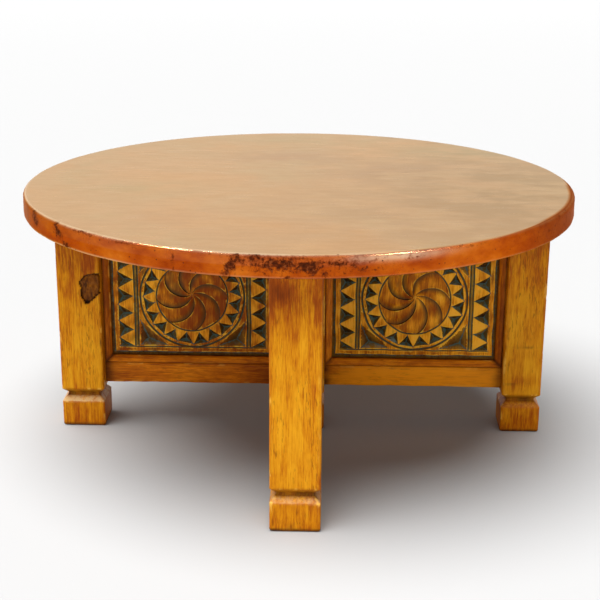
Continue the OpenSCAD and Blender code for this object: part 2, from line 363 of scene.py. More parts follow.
def bare_wood(name, dark, light):
    """Unfinished board seen only from below, with its grain along X."""
    s = Shader(name)
    turned = s.mapped(s.position(), Rotation=(0, math.pi / 2, 0))
    tone, height = wood_tone(s, turned)
    rings = s.noise(turned, (55, 9, 1.2), 2.0, distortion=0.8)
    tone = s.weighted((tone, 0.55), (rings, 0.45))
    return s.finish(
        Base_Color=s.ramp(s.spread(tone, 0.38, 0.62), (0.0, dark), (1.0, light)),
        Roughness=s.spread(height, 0.35, 0.65, 0.6, 0.75),
        Normal=s.bump(height, 0.6 * MM, 0.5),
    )


def aged_copper(name):
    """Lacquered copper. Reads rim, lip, polish, tarnish, scale, green, rose and brown of the points."""
    s = Shader(name)
    place = s.position()
    rim, scale, tarnish, polish = (s.value(name) for name in ("rim", "scale", "tarnish", "polish"))
    clouds = s.noise(place, 3.4, 4.0, 0.55, 0.6)
    blush = s.noise(place, (9, 16, 9), 5.0, 0.6)
    rubbed = s.noise(place, (16, 64, 16), 6.0, 0.66)
    grainy = s.noise(place, 150.0, 3.0, 0.6)
    sheet = [(0.32, (0.69, 0.46, 0.222)), (0.5, (0.735, 0.445, 0.208)), (0.68, (0.78, 0.435, 0.178))]
    flat = s.ramp(clouds, *sheet)
    blotches = {"green": (0.53, 0.42, 0.19), "rose": (0.59, 0.33, 0.17), "brown": (0.44, 0.265, 0.10)}
    for kind, colour in blotches.items():
        flat = s.mix(s.times(s.value(kind), s.spread(blush, 0.36, 0.60, 0.35, 1.0)), flat, colour)
    wiped = s.spread(s.weighted((rubbed, 0.7), (grainy, 0.3)), 0.42, 0.62, 0.0, 0.20)
    flat = s.mix(wiped, flat, (0.52, 0.27, 0.09))
    side = s.ramp(
        s.noise(place, (13, 13, 24), 5.0, 0.62),
        (0.30, (0.27, 0.028, 0.002)),
        (0.45, (0.45, 0.070, 0.003)),
        (0.58, (0.57, 0.114, 0.005)),
        (0.75, (0.70, 0.19, 0.014)),
    )
    # painted shade with tarnish: the edge darkens towards both sides
    side = s.mix(tarnish, side, (0.24, 0.040, 0.002))
    colour = s.mix(rim, flat, side)
    # a pale line on the shoulder and a pale patch on the edge: painted highlights on polished copper
    colour = s.mix(s.times(polish, s.spread(blush, 0.3, 0.6, 0.4, 1.0)), colour, (0.92, 0.66, 0.42))
    colour = s.mix(s.times(s.value("lip"), s.spread(blush, 0.3, 0.6, 0.3, 0.9)), colour, (0.74, 0.48, 0.25))
    flakes = s.noise(place, 120.0, 8.0, 0.8)
    crust = s.weighted((flakes, 1.0), (grainy, 0.25), (scale, 0.30))
    stain = s.times(s.spread(crust, 0.72, 0.86), s.times(rim, 0.8))
    colour = s.mix(stain, colour, (0.22, 0.032, 0.003))
    burnt = [(0.35, (0.045, 0.010, 0.003)), (0.55, (0.130, 0.022, 0.004)), (0.72, (0.38, 0.11, 0.03))]
    thick = s.spread(crust, 0.83, 0.89)
    colour = s.mix(s.times(thick, 0.95), colour, s.ramp(s.noise(place, 190.0, 4.0), *burnt))
    dots = s.math("LESS_THAN", s.cells(place, 95.0), 0.11)
    chosen = s.math("GREATER_THAN", s.noise(place, 30.0, 1.0), 0.52)
    pits = s.times(s.times(dots, chosen), s.spread(rim, 0.0, 1.0, 0.10, 0.85))
    rough = s.spread(rubbed, 0.3, 0.7, 0.27, 0.31)
    dents = s.times(s.cells(place, 60.0, feature="SMOOTH_F1"), s.spread(rim, 0.0, 1.0, 0.03, 0.8))
    height = s.weighted((dents, 1.0), (grainy, 0.05), (pits, -1.0), (crust, -0.3))
    return s.finish(
        Base_Color=s.mix(pits, colour, (0.04, 0.012, 0.008)),
        Metallic=1.0,
        Roughness=s.weighted((rough, 1.0), (thick, 0.25), (tarnish, 0.35), (polish, -0.08)),
        Normal=s.bump(height, RELIEF, 0.35),
        Specular_Tint=s.mix(rim, (0.97, 0.88, 0.76), (0.90, 0.52, 0.22)),
        **LACQUER,
    )


def dull_metal(name, dark, light, rough):
    """Small fixings: worn and slightly stained."""
    s = Shader(name)
    stain = s.noise(s.position(), 420.0, 4.0, 0.65)
    return s.finish(
        Base_Color=s.ramp(s.spread(stain, 0.35, 0.65), (0.0, dark), (1.0, light)),
        Metallic=1.0,
        Roughness=s.spread(stain, 0.3, 0.7, rough, rough + 0.2),
        Normal=s.bump(stain, 0.2 * MM, 0.5),
    )


copper = aged_copper("copper")
post_wood = stained_wood("post_wood", (0.37, 0.074, 0.001), (0.61, 0.214, 0.002), (0.79, 0.365, 0.010))
rail_wood = stained_wood("rail_wood", (0.34, 0.070, 0.001), (0.62, 0.165, 0.002), (0.92, 0.31, 0.006), 0.3)
moulding_wood = stained_wood(
    "moulding_wood", (0.36, 0.080, 0.001), (0.65, 0.180, 0.002), (0.86, 0.32, 0.008), 0.3
)
panel_wood = carved_wood("panel_wood")
core_wood = bare_wood("core_wood", (0.09, 0.042, 0.018), (0.20, 0.105, 0.045))
cleat_wood = bare_wood("cleat_wood", (0.16, 0.075, 0.03), (0.33, 0.18, 0.08))
tack_metal = dull_metal("tack_metal", (0.10, 0.035, 0.02), (0.42, 0.17, 0.09), 0.35)
steel = dull_metal("steel", (0.20, 0.18, 0.16), (0.48, 0.47, 0.45), 0.32)


# ---- layout of the base

base_centre = foot_of("center_post")


class Arm:
    """One arm of the base, with local axes along it, to its left and up."""

    def __init__(self, index):
        self.index = index
        self.name = ARMS[index]
        turn = math.radians(90 * index)
        self.along = np.array([round(math.cos(turn)), round(math.sin(turn)), 0.0])
        self.left = np.cross(UP, self.along)
        self.start = self.local_box("center_post")[1][0]
        self.end = self.local_box("leg_" + self.name)[0][0]

    def world(self, local):
        return base_centre + local[:, :1] * self.along + local[:, 1:2] * self.left + local[:, 2:] * UP

    def local_box(self, node):
        corners = box(node) - base_centre
        local = np.stack([corners @ self.along, corners @ self.left, corners[:, 2]], 1)
        return local.min(0), local.max(0)


arms = [Arm(i) for i in range(4)]


# ---- posts

FOOT_TOP = 54 * MM
NECK_DEPTH = 11 * MM
NECK_FLAT = 5 * MM
NECK_RISE = 10 * MM
SHAFT_FOOT = FOOT_TOP + NECK_DEPTH + NECK_FLAT + NECK_RISE
FOOT_EASE = 5 * MM
ARRIS = 3 * MM


def inside_path(points, path):
    """Whether 2-D points lie inside a closed path, and how far they are from it."""
    inside = np.zeros(len(points), bool)
    gap = np.full(len(points), np.inf)
    for a, b in zip(path, np.roll(path, -1, axis=0)):
        side = b - a
        crossed = (a[1] > points[:, 1]) != (b[1] > points[:, 1])
        rise = side[1] if side[1] else 1e-9
        inside ^= crossed & (points[:, 0] < a[0] + (points[:, 1] - a[1]) * side[0] / rise)
        along = np.clip(((points - a) @ side) / (side @ side), 0, 1)
        gap = np.minimum(gap, np.linalg.norm(points - a - along[:, None] * side, axis=1))
    return inside, gap


def outward_of(points, slack):
    """Unit directions away from a square timber's axis, slanting where two faces are within slack."""
    reach = np.abs(points)
    outward = np.where(reach >= reach.max(1, keepdims=True) - slack, np.sign(points), 0)
    return outward / np.maximum(np.linalg.norm(outward, axis=1, keepdims=True), 1e-9)


def post_levels(top, step, fine):
    """Heights of a post's rings, how far each is set in, how much painted shade it has there and how dusty
    it is there.
    """
    groove = FOOT_TOP + NECK_DEPTH
    slope = groove + NECK_FLAT
    soft = 0.8 * MM
    levels = [(rise, inset, 0.5, 0.0) for inset, rise in quarter_round(FOOT_EASE, 5)]
    levels += [(z, 0.0, 0.0, 0.0) for z in np.arange(FOOT_EASE + step, FOOT_TOP - 2 * soft, step)]
    levels += [
        (FOOT_TOP - soft, 0.0, 0.0, 0.3),
        (FOOT_TOP + soft * 0.4, soft * 0.9, 0.0, 1.0),
        (FOOT_TOP + 3 * MM, 3 * MM, 0.0, 0.9),
        (FOOT_TOP + 6 * MM, 6 * MM, 0.0, 0.9),
        (groove - 2 * MM, NECK_DEPTH - 2 * MM, 0.25, 0.6),
        (groove - soft, NECK_DEPTH - soft, 0.7, 0.2),
        (groove + soft, NECK_DEPTH, 0.75, 0.0),
        (slope - soft, NECK_DEPTH, 0.85, 0.0),
    ]
    for part in (0.12, 0.4, 0.7, 0.93):
        levels.append((slope + NECK_RISE * part, NECK_DEPTH * (1 - part), 0.9 - 0.6 * part, 0.0))
    z = SHAFT_FOOT + soft
    while z <= top - step / 2:
        levels.append((z, 0.0, 0.0, 0.0))
        z += step * 0.45 if fine[0] < z < fine[1] else step
    levels.append((top, 0.0, 0.0, 0.0))
    return levels


class PostSkin:
    """Points of a post before they are moved to its place, with values for its material."""

    def __init__(self, half, top, step, side_step, fine, rng):
        self.half, self.rng = half, rng
        sides = round((2 * half - 2 * ARRIS) / side_step)
        heights, insets, dark, powder = np.array(post_levels(top, step, fine)).T
        skins = [rounded_square(half - inset, half - inset, ARRIS, (sides, sides)) for inset in insets]
        outlines, corners = zip(*skins)
        count = len(outlines[0])
        rings = [np.column_stack([outline, np.full(count, z)]) for outline, z in zip(outlines, heights)]
        self.points, self.faces = loft(rings)
        self.corner = np.concatenate(corners)
        self.groove, self.dust = np.repeat(dark, count), np.repeat(powder, count)
        self.outward = outward_of(self.points * (1, 1, 0), ARRIS)
        self.inward = (0.16 + 0.16 * ripple(self.points, 90 * MM, rng)) * MM
        chips = smooth_step(ripple(self.points * (0.2, 0.2, 1), 26 * MM, rng), 0.75, 1.9)
        self.inward += self.corner * (0.25 + 1.5 * chips) * MM
        self.mark, self.hollow, self.tone = np.zeros((3, len(self.points)))

    def on_face(self, direction):
        """Millimetres right and up on the face that looks along direction, and which points are on it."""
        flat = np.column_stack([self.points @ np.cross(UP, direction), self.points[:, 2]]) / MM
        return flat, self.points @ direction > self.half - 2 * ARRIS

    def spot(self, direction, place, size):
        flat, facing = self.on_face(direction)
        return oval(flat, place, size) * facing

    def crack(self, direction, place, size, strength):
        """A dark oval mark, or a knot or split when it is long and thin."""
        near = self.spot(direction, place, size) * strength
        self.mark = np.maximum(self.mark, near)
        self.inward += near * 0.8 * MM

    def stain(self, direction, place, size, amount):
        self.tone += self.spot(direction, place, size) * amount

    def bark_pocket(self, direction, path, hole):
        """Timber broken out along an old knot, deepest beside its rim, with a hole at its foot."""
        flat, facing = self.on_face(direction)
        wander = np.column_stack([ripple(flat, 9.0, self.rng), ripple(flat, 9.0, self.rng)]) * 0.7
        inside, gap = inside_path(flat + wander, np.array(path, float))
        lumps = 0.5 + 0.5 * ripple(flat, 11.0, self.rng)
        bowl = (0.7 + 1.1 * lumps + 2.6 * bump_at(gap, 4.0)) * smooth_step(gap, 0.0, 1.4)
        pit = oval(flat, hole, 4.2)
        self.inward += (inside * bowl + 4.0 * pit) * facing * MM
        self.hollow = np.maximum(self.hollow, inside * facing)
        rim = bump_at(gap - 0.6, 2.1) * np.where(inside, 1.0, 0.2)
        split = smooth_step(ripple(flat * (1.0, 0.35), 7.0, self.rng), 0.7, 1.5) * inside
        self.mark = np.maximum(self.mark, np.clip(np.maximum(rim, 0.7 * split) + pit, 0, 1) * facing)


def build_post(
    name, node, flaws=None, tone=0.0, foot=-0.02, dust=0.3, step=4 * MM, side_step=4 * MM, fine=(0, 0)
):
    """A square post with a cut neck, worn arrises and the flaws that its timber has."""
    low, high = box(node)
    rng = rng_for(name)
    skin = PostSkin((high[0] - low[0]) / 2, high[2], step, side_step, fine, rng)
    if flaws:
        flaws(skin)
    points = skin.points - skin.outward * np.maximum(skin.inward, 0)[:, None]
    z = skin.points[:, 2]
    bottom = bump_at(z - FOOT_EASE * 0.5, 4 * MM)
    lips = bump_at(z - FOOT_TOP, 2.5 * MM) + bump_at(z - SHAFT_FOOT, 2.5 * MM)
    # painted shade: the posts darken toward the top, as the overhanging table top shades them
    painted_top_shade = 0.09 * smooth_step(z, 0.22, 0.46)  # darker toward the top
    values = {
        "grain": in_timber(points, rng),
        "tone": skin.tone + tone - painted_top_shade + foot * smooth_step(-z, -SHAFT_FOOT, -0.06),
        "edge": np.clip(skin.corner * 0.8 + bottom * 0.5 + lips, 0, 1) * (1 - skin.groove),
        "dust": skin.dust * dust,
        # painted shade in the neck groove and where the post stands on the floor
        "dirt": np.clip(skin.groove + 0.5 * bump_at(z, 5 * MM), 0, 1),
        "hollow": skin.hollow,
        "mark": skin.mark,
    }
    add_piece(name, points + foot_of(node), skin.faces, post_wood, [node], values)


# Places and sizes of flaws are in millimetres, to the right of a face's middle and up from the floor.
FRONT, RIGHT_SIDE, BACK_SIDE = (0, -1, 0), (1, 0, 0), (0, 1, 0)
POCKET = [(12.5, 322), (2.2, 310), (5.5, 296.5), (4, 280), (12.5, 263.5), (20.8, 265.5)]
POCKET += [(60, 301), (60, 326), (30, 326.5)]


def left_flaws(skin):
    skin.bark_pocket(FRONT, POCKET, (16, 267))
    skin.crack(FRONT, (40.5, 181), (1.6, 10), 0.95)
    skin.crack(FRONT, (9, 335), (1.2, 6), 0.5)
    skin.stain(FRONT, (28, 352), (18, 36), -0.10)
    skin.stain(FRONT, (14, 320), (20, 26), -0.04)
    skin.stain(FRONT, (-8, 190), (22, 60), 0.035)
    skin.crack(BACK_SIDE, (-12, 150), (6, 2.4), 0.6)


def front_flaws(skin):
    skin.stain(FRONT, (-27, 430), (19, 24), -0.15)
    skin.crack(FRONT, (-9, 436), (2.2, 16), 0.28)
    skin.stain(FRONT, (4, 180), (34, 110), 0.025)
    skin.crack(FRONT, (-7, 9), (5, 5), 0.35)
    skin.crack(RIGHT_SIDE, (14, 232), (8, 3), 0.6)


def right_flaws(skin):
    skin.crack(FRONT, (2, 184), (26, 1.3), 0.35)
    skin.crack(FRONT, (6, 183), (9, 2.6), 0.45)
    skin.crack(FRONT, (16, 183.5), (3, 2.8), 0.55)
    skin.crack(FRONT, (-22, 104), (12, 2.4), 0.4)
    skin.stain(FRONT, (4, 112), (34, 13), -0.05)
    skin.stain(FRONT, (-4, 20), (30, 24), -0.03)
    skin.crack(RIGHT_SIDE, (-10, 300), (5, 3.5), 0.6)


def back_flaws(skin):
    skin.crack(BACK_SIDE, (12, 250), (8, 4), 0.7)
    skin.crack(BACK_SIDE, (-20, 130), (1.4, 22), 0.7)
    skin.stain(BACK_SIDE, (0, 400), (40, 30), -0.06)


build_post("post_center", "center_post", tone=-0.03)
build_post("post_front", "leg_front", front_flaws, 0.005, dust=0.55, step=3 * MM)
build_post("post_back", "leg_back", back_flaws, -0.01)
build_post("post_left", "leg_left", left_flaws, 0.004, -0.06, 1.0, 3.4 * MM, 2 * MM, (0.245, 0.345))
build_post("post_right", "leg_right", right_flaws, 0.006, -0.07, 0.12, 3 * MM)


# ---- rails

RAIL_EASE = 1.8 * MM
RAIL_STEP = 5 * MM
RAIL_RINGS = 60
TENON_HALF = 6 * MM
TENON_SHOULDER = 7 * MM
# Painted light and shade of each arm's lower rails, and half of it on its carving: the right arm lighter,
# the left and front arms darker.
ARM_PAINTED_LIGHT = {"right": 0.105, "back": 0.0, "left": -0.08, "front": -0.12}


def build_rail(name, node, arm, tone=0.0):
    """A rail with a stub tenon on both ends, lofted along its length."""
    low, high = arm.local_box(node)
    rng = rng_for(name)
    half_y, half_z = (high - low)[1:] / 2
    middle = (low[2] + high[2]) / 2
    counts = (round(2 * half_y / RAIL_STEP), round(2 * half_z / RAIL_STEP))
    places = [low[0], arm.start, *np.linspace(arm.start, arm.end, RAIL_RINGS), arm.end, high[0]]
    whole = [0, 0] + [1] * RAIL_RINGS + [0, 0]
    rings, corners = [], []
    for place, full in zip(places, whole):
        size = (half_y, half_z) if full else (TENON_HALF, half_z - TENON_SHOULDER)
        outline, at_corner = rounded_square(*size, RAIL_EASE, counts, corner_steps=3)
        rings.append(np.column_stack([np.full(len(outline), place), outline + (0, middle)]))
        corners.append(at_corner)
    points, faces = loft(rings)
    corner, body = np.concatenate(corners), np.repeat(whole, len(outline))
    outward = outward_of((points - (0, 0, middle)) * (0, 1 / half_y, 1 / half_z), 0.12)
    inward = 0.12 + 0.12 * ripple(points, 80 * MM, rng)
    inward = inward + corner * 0.4 * (1 + ripple(points, 40 * MM, rng))
    points = points - outward * (np.maximum(inward, 0) * body * MM)[:, None]
    end = np.maximum(np.minimum(points[:, 0] - arm.start, arm.end - points[:, 0]), 0)
    along = (points[:, 0] - arm.start) / (arm.end - arm.start)
    values = {
        "grain": in_timber(points[:, [1, 2, 0]], rng),
        "edge": corner * 0.5 * body,
        # painted shade near the posts at both ends
        "dirt": 0.75 * bump_at(end, 14 * MM) + 0.25 * bump_at(end, 60 * MM),
        # painted light in the middle of the rail and painted shade by the centre post
        "tone": tone + 0.035 * bump_at(along - 0.5, 0.28) - 0.035 * bump_at(along, 0.2),
    }
    add_piece(name, arm.world(points), faces, rail_wood, [node], values)


for arm in arms:
    build_rail("rail_lower_" + arm.name, "bottom_rail_" + arm.name, arm, ARM_PAINTED_LIGHT[arm.name])
    build_rail("rail_upper_" + arm.name, "top_rail_" + arm.name, arm)


# ---- panel faces

class Face:
    """One carved side of an arm: x to the right, y up and z out of the board, as seen from that side."""

    def __init__(self, arm, turned):
        panel_low, panel_high = arm.local_box("panel_" + arm.name)
        rail_high = arm.local_box("bottom_rail_" + arm.name)[1]
        top = arm.local_box("top_rail_" + arm.name)[0][2]
        self.arm, self.turned = arm, turned
        self.span, self.height = arm.end - arm.start, top - rail_high[2]
        self.board, self.rail = panel_high[1], rail_high[1]
        self.middle = np.array([(arm.start + arm.end) / 2, (rail_high[2] + top) / 2])
        self.low = (panel_low[[0, 2]] - self.middle) / MM
        self.high = (panel_high[[0, 2]] - self.middle) / MM
        if turned:
            self.low[0], self.high[0] = -self.high[0], -self.low[0]

    def corners(self):
        """Corners of the whole board as seen from this side, in millimetres."""
        low, high = self.low, self.high
        return [(low[0], low[1]), (high[0], low[1]), (high[0], high[1]), (low[0], high[1])]

    def world(self, points):
        flip = -1 if self.turned else 1
        along = self.middle[0] + flip * points[:, 0]
        left = -flip * (self.board + points[:, 2])
        return self.arm.world(np.column_stack([along, left, self.middle[1] + points[:, 1]]))


# ---- mouldings

MOULDING_WIDTH = 15 * MM
MOULDING_RINGS = 34
MITRE_GAP = 0.1 * MM
# Painted shade on each strip: most on the outer strips in the corner by the legs, less on the lower and
# inner strips.
MOULDING_PAINTED_SHADE = {"lower": -0.065, "upper": 0.0, "inner": -0.03, "outer": -0.12}
# Widths of the painted shade along each strip's outer edge, against the post or rail.
DIRT_AND_SHADE_WIDTHS = {"lower": 0.08, "upper": 0.05, "inner": 0.15, "outer": 0.20}
QUARTERS = {"lower": 0, "outer": 1, "upper": 2, "inner": 3}


def moulding_section(height):
    """Across from the outer edge and up from the board: a narrow fillet, a long bevel, a thin inner edge."""
    w, t = MOULDING_WIDTH / MM, height / MM
    drops = [(0.1, 0.7), (0.3, 0.2), (0.8, 0), (2.6, 0), (4.4, 0.1), (5.4, 0.4), (7.4, 1.15), (9.4, 1.95)]
    drops += [(11.4, 2.8), (12.9, 3.6), (13.9, 4.4), (w - 0.45, 5.2), (w - 0.1, 5.9), (w, 6.5)]
    return np.array([(0.1, 0), *((x, t - drop) for x, drop in drops), (w, 0)]) * MM


def build_moulding(face, edge, node):
    """One mitred strip of the frame round a panel."""
    name = node.replace("moulding", "strip")
    rng = rng_for(name)
    upright = edge in ("inner", "outer")
    length, across = (face.height, face.span) if upright else (face.span, face.height)
    quarter = 4 - QUARTERS[edge] if upright and face.turned else QUARTERS[edge]
    thickness = face.rail - face.board
    section = moulding_section(thickness)[::-1]
    half_run = length / 2 - section[:, 0] - MITRE_GAP * math.sqrt(2)
    strip = np.column_stack([half_run, section[:, 0] - across / 2, section[:, 1]])
    points, faces = loft([strip * (t, 1, 1) for t in np.linspace(-1, 1, MOULDING_RINGS)])
    lift = np.clip(points[:, 2] / thickness, 0, 1)
    points[:, 2] -= lift * (0.10 + 0.10 * ripple(points, 70 * MM, rng)) * MM
    from_edge = points[:, 1] + across / 2
    inner = from_edge / MOULDING_WIDTH
    to_mitre = half_run.max() - np.abs(points[:, 0]) - from_edge
    worn = bump_at(inner - 0.05, 0.04) * 0.5 + bump_at(inner - 0.93, 0.07) * 0.9
    # painted shade along the outer edge against the post or rail and along the inner edge against the panel;
    # the mitres get dark joints
    dirt = bump_at(inner, DIRT_AND_SHADE_WIDTHS[edge]) + bump_at(inner - 1.0, 0.03) * 0.8
    values = {
        "grain": in_timber(points[:, [1, 2, 0]], rng, 0.03, 0.2),
        "edge": np.clip(worn, 0, 1),
        "dirt": np.clip(dirt + bump_at(to_mitre, 1.6 * MM), 0, 1),
        "tone": np.full(len(points), MOULDING_PAINTED_SHADE[edge]),
    }
    c, s = math.cos(quarter * math.pi / 2), math.sin(quarter * math.pi / 2)
    placed = face.world(points @ [(c, s, 0), (-s, c, 0), (0, 0, 1)])
    add_piece(name, placed, faces, moulding_wood, [node], values, sharp=40)


# ---- carving, in millimetres

STRIP_X, STRIP_Y = 158.5, 116.5     # outer edge of the raised border
FIELD_X, FIELD_Y = 149.5, 105.5     # inner edge of the raised border
BACK_X, BACK_Y = 165.6, 125.2       # outer edge of the sunk margin, under the moulding
MARGIN_DEPTH, MARGIN_SLOPE = 1.9, 1.4
LINE_X = (117.4, 110.7)             # the two cuts beside the medallion
LINE_HALF, LINE_DEPTH = 1.6, 1.7
TOOTH_TIP = 119.8
TEETH = 6
RING, RING_HALF, RING_DEPTH = 105.6, 2.3, 2.2
HUB_RISE = 5.5                      # how far above the middle of the medallion the blades meet
RAY_RING = 99.5
RAYS = 20
INNER, INNER_HALF, INNER_DEPTH = 72.0, 1.7, 1.7
BLADES = 8
BLADE_TURN = math.radians(136)
BLADE_DEPTH, BLADE_STEEP, BLADE_GENTLE = 2.8, 1.2, 13.0
CHIP = 6.0
CORNER_X, CORNER_Y = 107.0, 104.0   # square corner of the chips in the corners of the field
CORNER_END = 50                     # where their long side starts and ends
CORNER_DEPTH = 4.2
BORDER_AWAY, BORDER_HALF, BORDER_DEPTH = 1.5, 1.4, 1.2  # the level cuts along the raised border
FILL_STEP, FILL_CLEAR = 4.2, 1.7    # spacing of the mesh between the cuts


class Carving:
    """Cuts of one face, and the lines that the mesh has to follow.

    Each cut gives its depth at a set of points, how strongly it is painted, and a shade from 0,
    nearly black, to 1, pale green. A negative shade leaves the cut unpainted.
    """

    def __init__(self, rng):
        self.rng = rng
        self.cuts = []
        self.points = []
        self.edges = []
        self.kinds = []

    def line(self, points, kind, step, closed=False):
        """A polyline for the mesh to follow, as an edge of a cut or the valley in it."""
        corners = list(points) + ([points[0]] if closed else [])
        path = []
        for a, b in zip(corners[:-1], corners[1:]):
            count = max(1, round(np.linalg.norm(np.subtract(b, a)) / step))
            path += [np.add(a, np.subtract(b, a) * i / count) for i in range(count)]
        if not closed:
            path.append(np.array(corners[-1]))
        first, last = len(self.points), len(self.points) + len(path) - 1
        self.points += path
        self.kinds += [kind] * len(path)
        self.edges += [(i, i + 1) for i in range(first, last)]
        if closed:
            self.edges.append((last, first))

    def chip(self, a, b, c, depth=CHIP, wander=0.7, lean=0.0, paint=0.95):
        """A chip with three facets that meet at one deep point. lean moves that point towards corner c."""
        a, b, c = (np.array(p) + self.rng.normal(0, wander * 0.5, 2) for p in (a, b, c))
        deep = (a + b + c) / 3 + (c - (a + b) / 2) * lean + self.rng.normal(0, wander, 2)
        depth = depth * self.rng.uniform(0.82, 1.12)
        sides = ((a, b), (b, c), (c, a))
        inward = [deep - (s + e) / 2 for s, e in sides]
        # facets that face up are painted lighter and those that face down darker: painted light and shade
        # from above
        shades_lit_from_above = [0.40 + 0.30 * v[1] / np.linalg.norm(v) + self.rng.uniform(-0.15, 0.15) for v in inward]

        def cut(p):
            heights = []
            for s, e in sides:
                normal = np.array([e[1] - s[1], s[0] - e[0]])
                heights.append((p - s) @ normal / ((deep - s) @ normal))
            return depth * np.maximum(np.min(heights, 0), 0), np.array(shades_lit_from_above)[np.argmin(heights, 0)]

        self.cuts.append((cut, paint))
        self.line([a, b, c], "edge", closed=True, step=4.0)
        for corner in (a, b, c):
            self.line([corner, deep], "valley", step=4.0)

    def v_cut(self, distance, half, depth, shade, paint, path, **how):
        """A V cut along where distance is 0. path gives the line at an offset to one side of it."""

        def cut(p):
            return depth * np.maximum(1 - np.abs(distance(p)) / half, 0), np.full(len(p), shade)

        self.cuts.append((cut, paint))
        for offset, kind in ((-half, "edge"), (0, "valley"), (half, "edge")):
            self.line(path(offset), kind, **how)

    def ring(self, radius, half, depth):
        angles = np.linspace(0, TURN, round(TURN * radius / 3.2), endpoint=False)

        def distance(p):
            return np.hypot(p[:, 0], p[:, 1]) - radius

        def path(offset):
            return [polar(radius + offset, a) for a in angles]

        self.v_cut(distance, half, depth, 0.55, 0.8, path, closed=True, step=9.0)

    def groove(self, axis, place, half, depth, reach):
        """A straight cut across axis 0 (upright) or axis 1 (level)."""

        def distance(p):
            return np.where(np.abs(p[:, 1 - axis]) < reach, p[:, axis] - place, half)

        def path(offset):
            ends = np.array([[place + offset, -reach], [place + offset, reach]])
            return ends if axis == 0 else ends[:, ::-1]

        self.v_cut(distance, half, depth, 0.6, 0.85, path, step=4.0)

    def blade(self, end):
        """An arc from the middle to the inner ring, turning clockwise, steep on its outer side only."""
        radius = INNER / (2 * math.sin(BLADE_TURN / 2)) * self.rng.uniform(0.98, 1.03)
        centre = polar(radius, end + BLADE_TURN / 2 - math.pi / 2)
        start = end + BLADE_TURN / 2 + math.pi / 2

        def width(away):
            return np.clip(0.5 * away, 0.8, BLADE_GENTLE)

        def cut(p):
            offset = p - centre
            s = np.hypot(offset[:, 0], offset[:, 1]) - radius
            turned = (start - np.arctan2(offset[:, 1], offset[:, 0])) % TURN
            away = np.hypot(p[:, 0], p[:, 1])
            value = np.where(s > 0, 1 - s / BLADE_STEEP, 1 + s / width(away))
            reach = (turned < BLADE_TURN + 0.1) & (away < INNER + 0.5)
            fade = smooth_step(away, 0.0, 18.0) * (0.6 + 0.4 * smooth_step(-away, -INNER, -INNER + 20))
            # the steep wall is painted near black: painted shade
            return BLADE_DEPTH * fade * np.maximum(value, 0) * reach, np.where(s > 0, 0.12, -1.0)

        self.cuts.append((cut, 0.85))
        turns = np.linspace(0.03, BLADE_TURN, 34)
        valley = [centre + polar(radius, start - t) for t in turns]
        widths = [width(np.linalg.norm(p)) for p in valley]
        self.line(valley, "faint", step=9.0)
        self.line([centre + polar(radius + BLADE_STEEP, start - t) for t in turns], "edge", step=9.0)
        self.line([centre + polar(radius - w, start - t) for w, t in zip(widths, turns)], "soft", step=9.0)

    def margin(self):
        """The painted sunk margin between the raised border and the moulding."""

        def cut(p):
            out = np.maximum(np.abs(p[:, 0]) - STRIP_X, np.abs(p[:, 1]) - STRIP_Y)
            back = np.maximum(np.abs(p[:, 0]) - BACK_X, np.abs(p[:, 1]) - BACK_Y)
            slope = np.clip(out / MARGIN_SLOPE, 0, 1) * np.clip(1 - back, 0, 1)
            return MARGIN_DEPTH * slope, np.full(len(p), 0.32)

        self.cuts.append((cut, 0.75))
        for x, y, out, kind in (
            (STRIP_X, STRIP_Y, 0, "edge"),
            (STRIP_X, STRIP_Y, MARGIN_SLOPE, "valley"),
            (BACK_X, BACK_Y, 0, "soft"),
            (BACK_X, BACK_Y, 1, "soft"),
        ):
            corner = np.array([x + out, y + out])
            corners = [corner * signs for signs in ((-1, -1), (1, -1), (1, 1), (-1, 1))]
            self.line(corners, kind, closed=True, step=5.0)

    def depth(self, points):
        """Depth, paint and shade of the deepest cut at each point."""
        deepest, paint, shade = np.zeros((3, len(points)))
        for cut, strength in self.cuts:
            depth, tint = cut(points)
            more = depth > deepest
            deepest[more] = depth[more]
            paint[more] = strength * (tint[more] >= 0)
            shade[more] = tint[more]
        return deepest, paint, shade


def carve(rng):
    """The whole pattern of one face."""
    c = Carving(rng)
    c.margin()
    half_ray = math.pi / RAYS * 0.95
    for i in range(RAYS):
        a = (i + 0.5) * TURN / RAYS + math.pi / 2
        c.chip(polar(RAY_RING, a - half_ray), polar(RAY_RING, a + half_ray), polar(INNER + 4, a))
    c.ring(RING, RING_HALF, RING_DEPTH)
    c.ring(INNER, INNER_HALF, INNER_DEPTH)
    for i in range(BLADES):
        c.blade(i * TURN / BLADES + rng.normal(0, 0.05))
    pitch = 2 * FIELD_Y / TEETH
    half = pitch * 0.49
    for side in (-1, 1):
        edge, tip = side * FIELD_X, side * TOOTH_TIP
        for x in LINE_X:
            c.groove(0, side * x, LINE_HALF, LINE_DEPTH, FIELD_Y)
        c.groove(1, side * (FIELD_Y + BORDER_AWAY), BORDER_HALF, BORDER_DEPTH, FIELD_X)
        for k in range(1, TEETH):
            y = -FIELD_Y + k * pitch
            c.chip((edge, y - half), (edge, y + half), (tip, y))
        for end in (-1, 1):
            y = end * FIELD_Y
            c.chip((edge, y), (edge, y - end * half), (tip, y), depth=CHIP * 0.75, wander=0.4)
            x, y = side * CORNER_X, end * CORNER_Y
            c.chip((x, end * CORNER_END), (side * CORNER_END, y), (x, y), CORNER_DEPTH, lean=0.12, paint=0.7)
    return c


